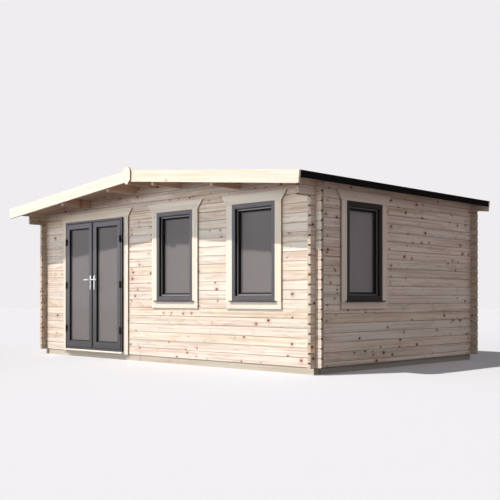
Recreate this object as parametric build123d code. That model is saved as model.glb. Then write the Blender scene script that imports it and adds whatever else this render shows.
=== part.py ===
from build123d import *
import os
from math import cos, radians, sin, tan

# A log cabin with a low gable roof, double glazed doors and three fixed-looking windows.
# Origin: on the ground, at the centre of the roof's plan. +X runs along the front from
# left to right, +Y runs back, +Z is up. The front faces -Y. Millimetres throughout.

os.makedirs("parts", exist_ok=True)

# ---------------------------------------------------------------- driving dimensions

# walls
wall_width = 5428            # over the outer faces of the side walls
wall_depth = 3434            # over the outer faces of the front and rear walls
log_height = 109             # one course
log_thickness = 44
log_chamfer = 5              # on every long edge of a log
log_end_projection = 85      # past the wall that a log crosses
log_end_chamfer = 16         # along the log, at the top and bottom of each end
log_end_chamfer_height = 10
courses_below_head = 17      # whole courses up to the heads of the doors and windows
top_log_height = 170         # wall above those heads, at the side wall's outer face
top_log_reach = 285          # the side walls' top logs run this far past the front wall

# base and floor
bearer_height = 76
bearer_width = 70
front_bearer_inset = 10
side_bearer_inset = 30
joist_width = 45
joist_count = 8
floor_thickness = 28
floor_edge_gap = 5

# roof
roof_pitch = 5.75            # degrees
front_overhang = 500         # wall face to bargeboard face
rear_overhang = 136
side_overhang = 196
roof_board_thickness = 19
insulation_thickness = 49
covering_thickness = 6
ridge_gap = 2                # between the two slopes' boards, over the ridge purlin
purlin_width = 45
purlin_height = 109
inner_purlin_offset = 468    # from the ridge
outer_purlin_offset = 1530
eave_band_thickness = 10
eave_band_drop = 8           # below the roof boards, to shed the drips
bargeboard_height = 146      # upright, up to the top of the roof covering
bargeboard_thickness = 28
finial_width = 145
finial_height = 220
finial_thickness = 20
finial_rise = 36             # above the roof covering
finial_corner = 32
finial_tip_width = 34
finial_tip_height = 60

# doors
door_from_corner = 635       # left wall's outer face to the door frame
door_frame_width = 1367
door_frame_depth = 70
door_frame_stand_out = 48    # in front of the wall
door_frame_face = 30
door_stop_face = 20
door_stop_depth = 13
threshold_height = 34
threshold_projection = 55
leaf_thickness = 52
leaf_gap = 6
meeting_gap = 10
meeting_strip_width = 36
meeting_strip_recess = 12
meeting_strip_depth = 30
stile_width = 75
top_rail_height = 80
bottom_rail_height = 90
door_glass_recess = 28
door_glass_thickness = 18
glazing_cover = 12           # glass held inside the frame all round
glass_edge_gap = 3
hinge_radius = 9
hinge_pin_radius = 4
hinge_pin_clearance = 0.3
hinge_half_height = 48
hinge_axis_stand_out = 12    # in front of the leaf's face
hinge_plate_thickness = 4
hinge_plate_width = 22
hinge_knuckle_gap = 1
hinge_from_leaf_end = 262
hinges_per_leaf = 3


# door handles
handle_height = 1045         # above the underside of the walls
handle_backset = 21          # from a leaf's meeting edge to its lever's axis
plate_height = 205
plate_width = 30
plate_thickness = 8
plate_above_lever = 61
spindle_radius = 6
spindle_clearance = 0.5
neck_radius = 9
neck_length = 36
lever_length = 107
lever_height = 18
lever_thickness = 12
round_end_flat = 1           # left straight where an end is rounded both ways

# windows
window_width = 702
window_height = 1158
window_frame_depth = 70
window_frame_face = 54
window_stand_out = 20
sash_recess = 32
sash_face = 36
sash_depth = 64
window_glass_recess = 36     # behind the sash face
window_glass_thickness = 20
sill_height = 15
sill_projection = 25
sill_horn = 30
right_window_from_corner = 592
front_window_gap = 716
side_window_from_corner = 547
frame_fit = 4                # between a frame and the logs at its sides and head

# trims
trim_width = 100
trim_thickness = 20
head_trim_height = 115
head_trim_flare = 85
bottom_trim_height = 85

# ---------------------------------------------------------------- derived places

slope = tan(radians(roof_pitch))
square_cut = sin(radians(roof_pitch)) * cos(radians(roof_pitch))
cut_margin = 1               # how far a cutting block passes the face it cuts
half_width = wall_width / 2
roof_depth = front_overhang + wall_depth + rear_overhang
roof_front = -roof_depth / 2
roof_rear = roof_depth / 2
front_face = roof_front + front_overhang
rear_face = roof_rear - rear_overhang
wall_base = bearer_height
half_course = log_height / 2
quarter_course = log_height / 4
head_height = courses_below_head * log_height + half_course
wall_top = head_height + top_log_height
eave_x = half_width + side_overhang
log_end_x = half_width + log_end_projection
side_wall_mid = half_width - log_thickness / 2
roof_layers_height = roof_board_thickness + insulation_thickness


def roof_underside(x):
    """Height of the roof boards' underside above the ground."""
    return wall_base + wall_top + (half_width - abs(x)) * slope


ridge_height = roof_underside(0) + roof_layers_height + covering_thickness


# ---------------------------------------------------------------- shape helpers

def block(x_span, y_span, z_span):
    """A box given by its low and high ends along X, Y and Z."""
    spans = (x_span, y_span, z_span)
    centre = [(low + high) / 2 for low, high in spans]
    size = [high - low for low, high in spans]
    return Pos(*centre) * Box(*size)


def prism(points, y_span):
    """An upright X-Z outline carried along Y."""
    face = Plane.XZ * make_face(Polyline(*points, close=True))
    return Pos(0, y_span[0], 0) * extrude(face, -(y_span[1] - y_span[0]))


def side_prism(points, x_span):
    """An upright Y-Z outline carried along X."""
    face = Plane.YZ * make_face(Polyline(*points, close=True))
    return Pos(x_span[0], 0, 0) * extrude(face, x_span[1] - x_span[0])


def ring(outer_x, outer_z, inner_x, inner_z, y_span):
    """A rectangular frame standing in the X-Z plane."""
    return block(outer_x, y_span, outer_z) - block(inner_x, y_span, inner_z)


def inset(span, amount):
    """A span made shorter by the same amount at both ends."""
    return (span[0] + amount, span[1] - amount)


def mirrored(shape):
    """The same piece on the cabin's other side."""
    return mirror(shape, about=Plane.YZ)


def save(name, *shapes):
    """Write one node, made of one or more solids that don't touch."""
    solids = [solid for shape in shapes for solid in shape.solids()]
    shape = solids[0] if len(solids) == 1 else Compound(children=solids)
    export_step(shape, f"parts/{name}.step")


# ---------------------------------------------------------------- openings in the walls

door_left = -half_width + door_from_corner
door_right = door_left + door_frame_width
door_middle = (door_left + door_right) / 2
window_x = (-window_width / 2, window_width / 2)
window_z = (head_height - window_height, head_height)
right_window_x = half_width - right_window_from_corner - window_width / 2
left_window_x = right_window_x - window_width - front_window_gap
side_window_y = front_face + side_window_from_corner + window_width / 2

# Each window is drawn about its own centre line, with the wall's outer face at Y = 0
# and the wall's underside at Z = 0, and then put in these places.
window_places = (
    Pos(left_window_x, front_face, wall_base),
    Pos(right_window_x, front_face, wall_base),
    Pos(half_width, side_window_y, wall_base) * Rot(0, 0, 90),
)


def window_opening():
    """The cut through the logs: frame, sill and the fitting gap."""
    return block(
        inset(window_x, -frame_fit),
        (-log_thickness, 2 * log_thickness),
        (window_z[0] - sill_height, window_z[1]),
    )


# ---------------------------------------------------------------- log walls

def log_stack(x_span, height, first_joint):
    """Planed logs one on another, with a V wherever two chamfered edges meet.

    The outer face is at Y = 0 and the underside at Z = 0.
    """
    outer = [(log_chamfer, 0), (0, log_chamfer)]
    joint = first_joint
    while joint < height - log_chamfer:
        outer.append((0, joint - log_chamfer))
        outer.append((log_chamfer, joint))
        outer.append((0, joint + log_chamfer))
        joint += log_height
    outer.append((0, height))
    inner = [(log_thickness - y, z) for y, z in reversed(outer)]
    return side_prism(outer + inner, x_span)


def corner_laps(x_middle, height, first_lap):
    """Boxes where another wall's logs pass through this wall, every course."""
    column = (x_middle - log_thickness / 2, x_middle + log_thickness / 2)
    laps = []
    low = first_lap
    while low < height:
        laps.append(block(column, (0, log_thickness), (low, low + half_course)))
        low += log_height
    return laps


def end_notches(end, side, first_joint):
    """V cuts between the chamfered ends of a stack's logs; side is 1 at a high-X end."""
    inner = end - side * log_end_chamfer
    outer = end + side * cut_margin
    notches = []
    joint = first_joint
    while joint < stack_height:
        low = joint - log_end_chamfer_height
        high = joint + log_end_chamfer_height
        outline = [(outer, low), (end, low), (inner, joint), (end, high), (outer, high)]
        notches.append(prism(outline, (-cut_margin, log_thickness + cut_margin)))
        joint += log_height
    return notches


stack_height = roof_underside(0) - wall_base
gable_outline = [
    (-log_end_x, 0),
    (log_end_x, 0),
    (log_end_x, roof_underside(log_end_x) - wall_base),
    (0, roof_underside(0) - wall_base),
    (-log_end_x, roof_underside(log_end_x) - wall_base),
]


def purlin(x):
    """A beam under the roof boards, its top planed to the slope."""
    left = x - purlin_width / 2
    right = x + purlin_width / 2
    top = [(right, roof_underside(right)), (left, roof_underside(left))]
    if left < 0 < right:
        top.insert(1, (0, roof_underside(0)))
    bottom = roof_underside(abs(x)) - purlin_height
    return prism([(left, bottom), (right, bottom)] + top, purlin_y)


purlin_y = (roof_front + bargeboard_thickness, roof_rear - bargeboard_thickness)
purlins = {
    "ridge_purlin": [purlin(0)],
    "left_purlins": [purlin(-inner_purlin_offset), purlin(-outer_purlin_offset)],
    "right_purlins": [purlin(inner_purlin_offset), purlin(outer_purlin_offset)],
}
all_purlins = [beam for beams in purlins.values() for beam in beams]


def gable_stack():
    """A whole gable wall's logs, lapped at both corners and cut to the roof."""
    logs = log_stack((-log_end_x, log_end_x), stack_height, log_height)
    logs = logs & prism(gable_outline, (0, log_thickness))
    for x_middle in (-side_wall_mid, side_wall_mid):
        logs = logs - corner_laps(x_middle, stack_height, -quarter_course)
    for end, side in ((-log_end_x, -1), (log_end_x, 1)):
        logs = logs - end_notches(end, side, 0)
    return logs


def build_gable_walls():
    stack = gable_stack()
    front = Pos(0, front_face, wall_base) * stack - all_purlins
    rear = Pos(0, rear_face, wall_base) * Rot(0, 0, 180) * stack - all_purlins
    save("rear_wall", rear)

    y_span = (front_face - cut_margin, front_face + log_thickness + cut_margin)
    head = wall_base + head_height
    save("front_wall_top", front & block((-eave_x, eave_x), y_span, (head, ridge_height)))
    left = block((-eave_x, door_left - frame_fit), y_span, (0, head))
    save("front_wall_left", front & left)
    right = block((door_right + frame_fit, eave_x), y_span, (0, head))
    for place in window_places[:2]:
        right = right - place * window_opening()
    save("front_wall_right", front & right)


def build_side_walls():
    """Side walls start with half a log, so that their joints fall mid-log of the gables."""
    front_end = front_face - log_end_projection
    rear_end = rear_face + log_end_projection
    long_span = (front_face - top_log_reach, rear_end)
    place = Pos(half_width, 0, wall_base) * Rot(0, 0, 90)
    logs = log_stack(long_span, stack_height, half_course)
    for y_middle in (front_face + log_thickness / 2, rear_face - log_thickness / 2):
        logs = logs - corner_laps(y_middle, stack_height, quarter_course)
    logs = logs - end_notches(rear_end, 1, half_course)
    top_logs = place * (logs - end_notches(long_span[0], -1, half_course))
    logs = place * (logs - end_notches(front_end, -1, half_course))

    head = wall_base + head_height
    x_span = (half_width - log_thickness - cut_margin, half_width + cut_margin)
    wall = logs & block(x_span, (front_end, rear_end), (0, head))
    save("left_wall", mirrored(wall))
    save("right_wall", wall - window_places[2] * window_opening())

    top_outline = [
        (x_span[0], head),
        (x_span[1], head),
        (x_span[1], roof_underside(x_span[1])),
        (x_span[0], roof_underside(x_span[0])),
    ]
    top_log = top_logs & prism(top_outline, long_span)
    save("right_top_log", top_log)
    save("left_top_log", mirrored(top_log))


# ---------------------------------------------------------------- base and floor

def build_base():
    z_span = (0, bearer_height)
    bearer_x = half_width - side_bearer_inset
    front_y = front_face + front_bearer_inset
    rear_y = rear_face - front_bearer_inset
    between = (front_y + bearer_width, rear_y - bearer_width)
    across = (-bearer_x, bearer_x)
    save("front_bearer", block(across, (front_y, between[0]), z_span))
    save("rear_bearer", block(across, (between[1], rear_y), z_span))
    side = block((bearer_x - bearer_width, bearer_x), between, z_span)
    save("side_bearers", mirrored(side), side)

    first = -bearer_x + bearer_width
    pitch = -2 * first / (joist_count + 1)
    joists = []
    for number in range(1, joist_count + 1):
        middle = first + number * pitch
        x_span = (middle - joist_width / 2, middle + joist_width / 2)
        joists.append(block(x_span, between, z_span))
    save("floor_joists", *joists)

    inside = log_thickness + floor_edge_gap
    save("floor", block(
        (inside - half_width, half_width - inside),
        (front_face + inside, rear_face - inside),
        (wall_base, wall_base + floor_thickness),
    ))


# ---------------------------------------------------------------- roof

def slope_layer(x_span, low, high, y_span):
    """A layer of the right-hand slope, low and high above the boards' underside."""
    near, far = x_span
    outline = [
        (near, roof_underside(near) + low),
        (far, roof_underside(far) + low),
        (far, roof_underside(far) + high),
        (near, roof_underside(near) + high),
    ]
    return prism(outline, y_span)


def build_roof():
    inner_x = (ridge_gap / 2, eave_x - eave_band_thickness)
    boards = slope_layer(inner_x, 0, roof_board_thickness, purlin_y)
    save("roof_boards", mirrored(boards), boards)
    insulation = slope_layer(inner_x, roof_board_thickness, roof_layers_height, purlin_y)
    save("roof_insulation", mirrored(insulation), insulation)

    covering_top = roof_layers_height + covering_thickness
    covering = slope_layer((0, eave_x), roof_layers_height, covering_top, purlin_y)
    save("roof_covering_right", covering)
    save("roof_covering_left", mirrored(covering))

    band_x = (eave_x - eave_band_thickness, eave_x)
    band = slope_layer(band_x, -eave_band_drop, roof_layers_height, purlin_y)
    save("eave_bands", mirrored(band), band)

    board_bottom = covering_top - bargeboard_height
    low_end = eave_x - bargeboard_height * square_cut
    board_outline = [
        (0, roof_underside(0) + board_bottom),
        (low_end, roof_underside(low_end) + board_bottom),
        (eave_x, roof_underside(eave_x) + covering_top),
        (0, roof_underside(0) + covering_top),
    ]
    ends = {
        "front": (roof_front, purlin_y[0]),
        "rear": (purlin_y[1], roof_rear),
    }
    for end, y_span in ends.items():
        board = prism(board_outline, y_span)
        save(f"{end}_bargeboard_right", board)
        save(f"{end}_bargeboard_left", mirrored(board))


def build_finials():
    """Plates over the bargeboards' joint, with clipped corners and a blunt point."""
    top = ridge_height + finial_rise
    bottom = top - finial_height
    side = finial_width / 2
    right_half = [
        (finial_tip_width / 2, bottom),
        (side, bottom + finial_tip_height),
        (side, top - finial_corner),
        (side - finial_corner, top),
    ]
    outline = right_half + [(-x, z) for x, z in reversed(right_half)]
    front = prism(outline, (roof_front - finial_thickness, roof_front))
    rear = prism(outline, (roof_rear, roof_rear + finial_thickness))
    save("finials", front, rear)


# ---------------------------------------------------------------- trims

def opening_trim(x_span, bottom, low_trim):
    """Planed boards round an opening: two sides, a flared head and maybe a bottom."""
    y_span = (-trim_thickness, 0)
    outer = inset(x_span, -trim_width)
    sides = block(outer, y_span, (bottom, head_height))
    sides = sides - block(x_span, y_span, (bottom, head_height))
    head_top = head_height + head_trim_height
    head = prism([
        (outer[0], head_height),
        (outer[1], head_height),
        (outer[1] + head_trim_flare, head_top),
        (outer[0] - head_trim_flare, head_top),
    ], y_span)
    trim = sides + head
    if low_trim:
        trim = trim + block(outer, y_span, (bottom - bottom_trim_height, bottom))
    return trim


# ---------------------------------------------------------------- windows

def glazed_ring(x_span, z_span, rails, y_span, pane_y):
    """A frame round glass: its sides, its groove and the pane that fills the groove.

    rails gives the widths of the left, right, bottom and top members.
    """
    left, right, bottom, top = rails
    sight_x = (x_span[0] + left, x_span[1] - right)
    sight_z = (z_span[0] + bottom, z_span[1] - top)
    groove_x = inset(sight_x, -glazing_cover - glass_edge_gap)
    groove_z = inset(sight_z, -glazing_cover - glass_edge_gap)
    frame = ring(x_span, z_span, sight_x, sight_z, y_span)
    frame = frame - block(groove_x, pane_y, groove_z)
    pane = block(inset(sight_x, -glazing_cover), pane_y, inset(sight_z, -glazing_cover))
    return frame, pane


def build_windows():
    frame_x = window_x
    frame_z = (window_z[0], window_z[1] - frame_fit)
    frame_y = (-window_stand_out, window_frame_depth - window_stand_out)
    hole_x = inset(frame_x, window_frame_face)
    hole_z = inset(frame_z, window_frame_face)
    frame = ring(frame_x, frame_z, hole_x, hole_z, frame_y)

    sash_front = frame_y[0] + sash_recess
    sash_y = (sash_front, sash_front + sash_depth)
    pane_front = sash_front + window_glass_recess
    pane_y = (pane_front, pane_front + window_glass_thickness)
    sash, pane = glazed_ring(hole_x, hole_z, [sash_face] * 4, sash_y, pane_y)

    sill_z = (window_z[0] - sill_height, window_z[0])
    nose_y = (frame_y[0] - sill_projection, frame_y[0])
    nose = block(inset(frame_x, -sill_horn), nose_y, sill_z)
    sill = nose + block(frame_x, frame_y, sill_z)
    trim = opening_trim(frame_x, sill_z[0], True)

    pieces = {
        "window_frames": frame,
        "window_sashes": sash,
        "window_glass": pane,
        "window_sills": sill,
        "window_trims": trim,
    }
    for name, piece in pieces.items():
        save(name, *[place * piece for place in window_places])


# ---------------------------------------------------------------- doors

# The doors are drawn about the middle of their frame, with the wall's outer face at
# Y = 0 and the wall's underside at Z = 0. The right-hand leaf is the left one mirrored,
# without the meeting strip.
door_place = Pos(door_middle, front_face, wall_base)
frame_half = door_frame_width / 2
frame_x = (-frame_half, frame_half)
frame_z = (threshold_height, head_height - frame_fit)
frame_y = (-door_frame_stand_out, door_frame_depth - door_frame_stand_out)
leaf_z = inset(frame_z, door_frame_face + leaf_gap)
leaf_y = (frame_y[0], frame_y[0] + leaf_thickness)
leaf_outer = -frame_half + door_frame_face + leaf_gap
meeting_width = meeting_strip_width + meeting_gap
leaf_x = (leaf_outer, -meeting_width / 2)
hinge_x = leaf_outer - leaf_gap / 2
hinge_y = frame_y[0] - hinge_axis_stand_out
lever_x = leaf_x[1] - handle_backset


def hinge_heights():
    """Middles of the hinges, spread evenly between the top and the bottom one."""
    low, high = inset(leaf_z, hinge_from_leaf_end)
    step = (high - low) / (hinges_per_leaf - 1)
    return [low + number * step for number in range(hinges_per_leaf)]


def hinge_plate(side, z_span):
    """A flat plate on the leaf (side 1) or the frame (side -1), reaching the knuckle."""
    face_y = (frame_y[0] - hinge_plate_thickness, frame_y[0])
    start = leaf_gap / 2
    far = start + hinge_plate_width
    flat = block(sorted_span(side * start, side * far), face_y, z_span)
    web_y = (-hinge_axis_stand_out + frame_y[0], frame_y[0])
    web_far = start + hinge_plate_thickness
    web = block(sorted_span(side * start, side * web_far), web_y, z_span)
    return flat + web


def sorted_span(one, other):
    """Two ends put in order."""
    return (min(one, other), max(one, other))


def upright_cylinder(radius, z_span):
    """A cylinder standing on the hinge axis."""
    middle = (z_span[0] + z_span[1]) / 2
    return Pos(0, hinge_y, middle) * Cylinder(radius, z_span[1] - z_span[0])


def hinge_pair(height):
    """The frame's knuckle with its pin, and the leaf's knuckle that turns on it."""
    lower = (height - hinge_half_height, height - hinge_knuckle_gap / 2)
    upper = (height + hinge_knuckle_gap / 2, height + hinge_half_height)
    frame_part = upright_cylinder(hinge_radius, lower) + hinge_plate(-1, lower)
    frame_part = frame_part + upright_cylinder(hinge_pin_radius, (lower[0], upper[1]))
    leaf_part = upright_cylinder(hinge_radius, upper) + hinge_plate(1, upper)
    bore = hinge_pin_radius + hinge_pin_clearance
    leaf_part = leaf_part - upright_cylinder(bore, upper)
    return Pos(hinge_x, 0, 0) * frame_part, Pos(hinge_x, 0, 0) * leaf_part


def across(radius, y_span):
    """A cylinder along Y at the lever's axis."""
    middle = (y_span[0] + y_span[1]) / 2
    rod = Rot(90, 0, 0) * Cylinder(radius, y_span[1] - y_span[0])
    return Pos(lever_x, middle, handle_height) * rod


def handle_plate(y_span):
    """A back plate with rounded ends, bored for the spindle."""
    x_span = (lever_x - plate_width / 2, lever_x + plate_width / 2)
    top = handle_height + plate_above_lever
    plate = block(x_span, y_span, (top - plate_height, top))
    plate = fillet(plate.edges().filter_by(Axis.Y), plate_width / 2 - round_end_flat)
    return plate - across(neck_radius + spindle_clearance, y_span)


def lever_grip(near, far):
    """The part a hand holds, pointing from the axis towards the hinges."""
    x_span = (lever_x - lever_length, lever_x + neck_radius)
    z_span = (handle_height - lever_height / 2, handle_height + lever_height / 2)
    grip = block(x_span, sorted_span(near, far), z_span)
    return fillet(grip.edges().filter_by(Axis.Y), lever_height / 2 - round_end_flat)


def build_lever():
    """Outer and inner levers on one spindle through the stile."""
    outer_face = leaf_y[0] - plate_thickness
    inner_face = leaf_y[1] + plate_thickness
    spindle = across(spindle_radius, leaf_y)
    outer_end = outer_face - neck_length
    inner_end = inner_face + neck_length
    outer = across(neck_radius, (outer_end, leaf_y[0]))
    inner = across(neck_radius, (leaf_y[1], inner_end))
    outer_grip = lever_grip(outer_end, outer_end - lever_thickness)
    inner_grip = lever_grip(inner_end, inner_end + lever_thickness)
    return spindle + outer + inner + outer_grip + inner_grip


def build_doors():
    clear_x = inset(frame_x, door_frame_face)
    clear_z = inset(frame_z, door_frame_face)
    stop_y = (frame_y[1] - door_stop_depth, frame_y[1])
    frame = ring(frame_x, frame_z, clear_x, clear_z, frame_y)
    stop_x = inset(clear_x, door_stop_face)
    stop_z = inset(clear_z, door_stop_face)
    frame = frame + ring(clear_x, clear_z, stop_x, stop_z, stop_y)
    save("door_frame", door_place * frame)

    threshold = block(frame_x, (-threshold_projection, log_thickness), (0, threshold_height))
    save("door_threshold", door_place * threshold)
    save("door_trim", door_place * opening_trim(frame_x, 0, False))

    pane_front = leaf_y[0] + door_glass_recess
    pane_y = (pane_front, pane_front + door_glass_thickness)
    rails = (stile_width, stile_width, bottom_rail_height, top_rail_height)
    leaf, pane = glazed_ring(leaf_x, leaf_z, rails, leaf_y, pane_y)
    leaf = leaf - across(spindle_radius + spindle_clearance, leaf_y)

    hinges = [hinge_pair(height) for height in hinge_heights()]
    frame_parts = [pair[0] for pair in hinges]
    leaf_parts = [pair[1] for pair in hinges]
    outer_plate = handle_plate((leaf_y[0] - plate_thickness, leaf_y[0]))
    inner_plate = handle_plate((leaf_y[1], leaf_y[1] + plate_thickness))
    per_leaf = {
        "door_leaf": [leaf],
        "door_glass": [pane],
        "door_hinges": leaf_parts,
        "handle_plates": [outer_plate, inner_plate],
        "lever": [build_lever()],
    }
    for name, shapes in per_leaf.items():
        save(f"left_{name}", *[door_place * shape for shape in shapes])
        save(f"right_{name}", *[door_place * mirrored(shape) for shape in shapes])
    both_sides = frame_parts + [mirrored(part) for part in frame_parts]
    save("door_frame_hinges", *[door_place * part for part in both_sides])

    strip_front = leaf_y[0] + meeting_strip_recess
    strip_x = (leaf_x[1], leaf_x[1] + meeting_strip_width)
    strip_y = (strip_front, strip_front + meeting_strip_depth)
    save("meeting_strip", door_place * block(strip_x, strip_y, leaf_z))


build_base()
build_gable_walls()
build_side_walls()
for beam_name, beams in purlins.items():
    save(beam_name, *beams)
build_roof()
build_finials()
build_windows()
build_doors()
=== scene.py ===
# %% [markdown]
# # A log cabin in planed spruce
# The cabin is long and low: 44 mm logs crossed at the corners, a shallow roof that reaches
# far out over the front, dark grey double doors and three dark grey windows. The carpentry
# comes in as a fixed frame. This file dresses it: timber grain, boards, profiles, glass,
# ironmongery and the rubber roof.

# %% Load the fixed frame
import math
from functools import partialmethod

import bmesh
import bpy
from mathutils import Matrix, Vector, noise


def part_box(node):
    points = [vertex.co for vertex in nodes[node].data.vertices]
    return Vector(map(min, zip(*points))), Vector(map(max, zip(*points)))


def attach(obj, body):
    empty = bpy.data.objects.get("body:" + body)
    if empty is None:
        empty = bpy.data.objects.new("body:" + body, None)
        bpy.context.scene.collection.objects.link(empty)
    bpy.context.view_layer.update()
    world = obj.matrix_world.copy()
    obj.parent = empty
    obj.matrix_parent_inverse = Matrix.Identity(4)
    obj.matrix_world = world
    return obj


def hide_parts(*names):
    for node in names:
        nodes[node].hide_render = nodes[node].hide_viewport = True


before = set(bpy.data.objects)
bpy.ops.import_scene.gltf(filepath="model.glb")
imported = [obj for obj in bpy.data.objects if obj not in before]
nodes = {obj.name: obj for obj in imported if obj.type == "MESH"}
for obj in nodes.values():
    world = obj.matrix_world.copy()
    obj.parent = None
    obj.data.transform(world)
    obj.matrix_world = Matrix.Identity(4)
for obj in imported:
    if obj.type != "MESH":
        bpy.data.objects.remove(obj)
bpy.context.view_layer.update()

# %% [markdown] A few sizes are needed everywhere: where the walls start, how high a course
# of logs is and how steep the roof is.

# %% Sizes shared by many pieces
mm = 0.001
course = 109 * mm
pitch = math.radians(5.75)
wall_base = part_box("front_bearer")[1].z
rear_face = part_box("rear_wall")[1].y
front_face = rear_face - 3434 * mm
half_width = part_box("right_wall")[1].x
log_middle = 22 * mm
print("wall base", round(wall_base, 3), "front", round(front_face, 3), "half", half_width)

# %% [markdown]
# The camera stands to the right of the front corner, with its eye a little under a
# doorway's half height. It is level, so upright edges stay upright, and a small upward
# shift frames the cabin as an architect's shift lens does.

# %% Camera
scene = bpy.context.scene
scene.view_settings.view_transform = "Standard"


def put(name, data):
    """Makes an object from its data and puts it into the scene."""
    made = bpy.data.objects.new(name, data)
    scene.collection.objects.link(made)
    return made


camera = scene.camera = put("camera", bpy.data.cameras.new("camera"))
camera.data.sensor_width, camera.data.lens, camera.data.shift_y = 36, 61.15, 0.0972
camera.location = (8.726, -8.804, 0.849)
camera.rotation_euler = (math.radians(90), 0, math.radians(43.995))
print("camera", tuple(camera.location))

# %% [markdown]
# Materials are built from nodes, and shader maths reads best as Python. `Value` wraps a
# socket so that `a * 2 + b` adds the Math nodes for it. `Graph` adds any other node from
# its type, its settings and what goes into its sockets.

# %% Shader maths as Python
class Value:
    """A number that varies over a surface."""

    def __init__(self, graph, socket):
        self.graph, self.socket = graph, socket

    def math(self, operation, *others):
        return self.graph.math(operation, self, *others)

    def __rsub__(self, other):
        return self.graph.math("SUBTRACT", other, self)

    __add__ = __radd__ = partialmethod(math, "ADD")
    __sub__ = partialmethod(math, "SUBTRACT")
    __mul__ = __rmul__ = partialmethod(math, "MULTIPLY")
    __truediv__ = partialmethod(math, "DIVIDE")
    __pow__ = partialmethod(math, "POWER")
    __abs__ = partialmethod(math, "ABSOLUTE")

    def output(self, name):
        """Another output of the same node."""
        return Value(self.graph, self.socket.node.outputs[name])

    def step(self, low, high):
        """0 below low and 1 above high, smooth between; low may be the larger one."""
        ranges = {"From Min": low, "From Max": high}
        settings = {"interpolation_type": "SMOOTHSTEP"}
        return self.graph.node("MapRange", settings, {"Value": self, **ranges})


class Graph:
    """The nodes of one material or world."""

    def __init__(self, tree):
        self.tree = tree
        tree.nodes.clear()

    def feed(self, socket, value):
        if isinstance(value, Value):
            self.tree.links.new(value.socket, socket)
        elif hasattr(socket.default_value, "__len__") and not hasattr(value, "__len__"):
            socket.default_value = (value,) * len(socket.default_value)
        elif hasattr(value, "__len__") and len(value) < len(socket.default_value):
            socket.default_value = (*value, 1)
        else:
            socket.default_value = value

    def node(self, kind, settings, inputs, output=0):
        """Adds a node and returns one of its outputs."""
        made = self.tree.nodes.new("ShaderNode" + kind)
        for name, value in settings.items():
            setattr(made, name, value)
        for name, value in inputs.items():
            self.feed(made.inputs[name], value)
        return Value(self, made.outputs[output])

    def math(self, operation, *values):
        return self.node("Math", {"operation": operation}, dict(enumerate(values)))

    def mix(self, factor, first, second, blend="MIX"):
        """A colour between two colours."""
        settings = {"data_type": "RGBA", "blend_type": blend}
        return self.node("Mix", settings, {0: factor, 6: first, 7: second}, 2)

    def tint(self, amount, colour, stain):
        """A colour multiplied by a stain, as far as the amount says."""
        return self.mix(amount, colour, stain, "MULTIPLY")

    def join(self, x, y, z):
        return self.node("CombineXYZ", {}, {"X": x, "Y": y, "Z": z})

    def split(self, vector):
        made = self.node("SeparateXYZ", {}, {0: vector})
        return [made.output(name) for name in "XYZ"]

    def noise(self, vector, scale=1.0, detail=2.0):
        return self.node("TexNoise", {}, {"Vector": vector, "Scale": scale, "Detail": detail})


print("a graph can", [name for name in dir(Graph) if not name.startswith("_")])

# %% [markdown]
# A finish is a material with one Principled shader. It can read a point's own place in the
# cabin, the way a face turns, and marks that a mesh carries, so that every pattern sits
# fast in its piece.

# %% Finishes
class Finish(Graph):
    """A material with one Principled shader, made by name once and then shared."""

    def __init__(self, name, **constants):
        self.material = bpy.data.materials.new(name)
        self.material.use_nodes = True
        super().__init__(self.material.node_tree)
        self.shader = self.tree.nodes.new("ShaderNodeBsdfPrincipled")
        output = self.tree.nodes.new("ShaderNodeOutputMaterial")
        self.tree.links.new(self.shader.outputs[0], output.inputs["Surface"])
        self.set(**constants)

    def set(self, **values):
        """Feeds the shader's sockets: base_color stands for Base Color, and so on."""
        for name, value in values.items():
            label = name.replace("_", " ").title().replace("Ior", "IOR")
            self.feed(self.shader.inputs[label], value)

    def bump(self, height, distance, strength=1.0):
        inputs = {"Height": height, "Distance": distance, "Strength": strength}
        self.set(normal=self.node("Bump", {}, inputs))

    def place(self):
        """The point's own place in the cabin, in metres."""
        return self.node("TexCoord", {}, {}, "Object")

    def mark(self, name, output="Fac"):
        """A mark that the mesh itself carries."""
        return self.node("Attribute", {"attribute_name": name}, {}, output)

    def facing(self):
        """How far the surface faces along X, Y and Z."""
        normal = self.node("NewGeometry", {}, {}, "True Normal")
        return [abs(part) for part in self.split(normal)]


def dress(material, *names):
    """Gives frame nodes their finish."""
    for name in names:
        for slot in nodes[name].material_slots:
            slot.material = material
    print(material.name, "on", len(names), "nodes")


print("a finish also can", sorted(set(dir(Finish)) - set(dir(Graph))))

# %% [markdown]
# The light is a high sun from the front left, a bright sky on that side and little from
# the right, so the side wall lies in soft shade. The camera meets the pale backdrop and
# the pale floor as they are, also through glass. Rays that light the cabin meet a
# one-sided sky and a darker floor. Gloss meets one soft light on the bright side, as in a
# studio, so that dark plastic and glass keep their depth.

# %% Light, sky and floor
sun = put("sun", bpy.data.lights.new("sun", "SUN"))
sun.data.energy, sun.data.angle, sun.data.color = 3.65, math.radians(0.9), (1.0, 0.95, 0.92)
sun.rotation_euler = Vector((0.453, 1.0, -1.42)).to_track_quat("-Z", "Y").to_euler()

backdrop = (0.871, 0.847, 0.871)
scene.world = bpy.data.worlds.new("sky")
scene.world.use_nodes = True
sky = Graph(scene.world.node_tree)
direction = sky.node("TexCoord", {}, {}, "Generated")


def lobe(towards, low, high):
    """1 towards a direction, falling smoothly to 0 away from it."""
    return sky.node("VectorMath", {"operation": "DOT_PRODUCT"},
                    {0: direction, 1: towards}, "Value").step(low, high)


def background(colour, strength):
    return sky.node("Background", {}, {"Color": colour, "Strength": strength})


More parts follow.
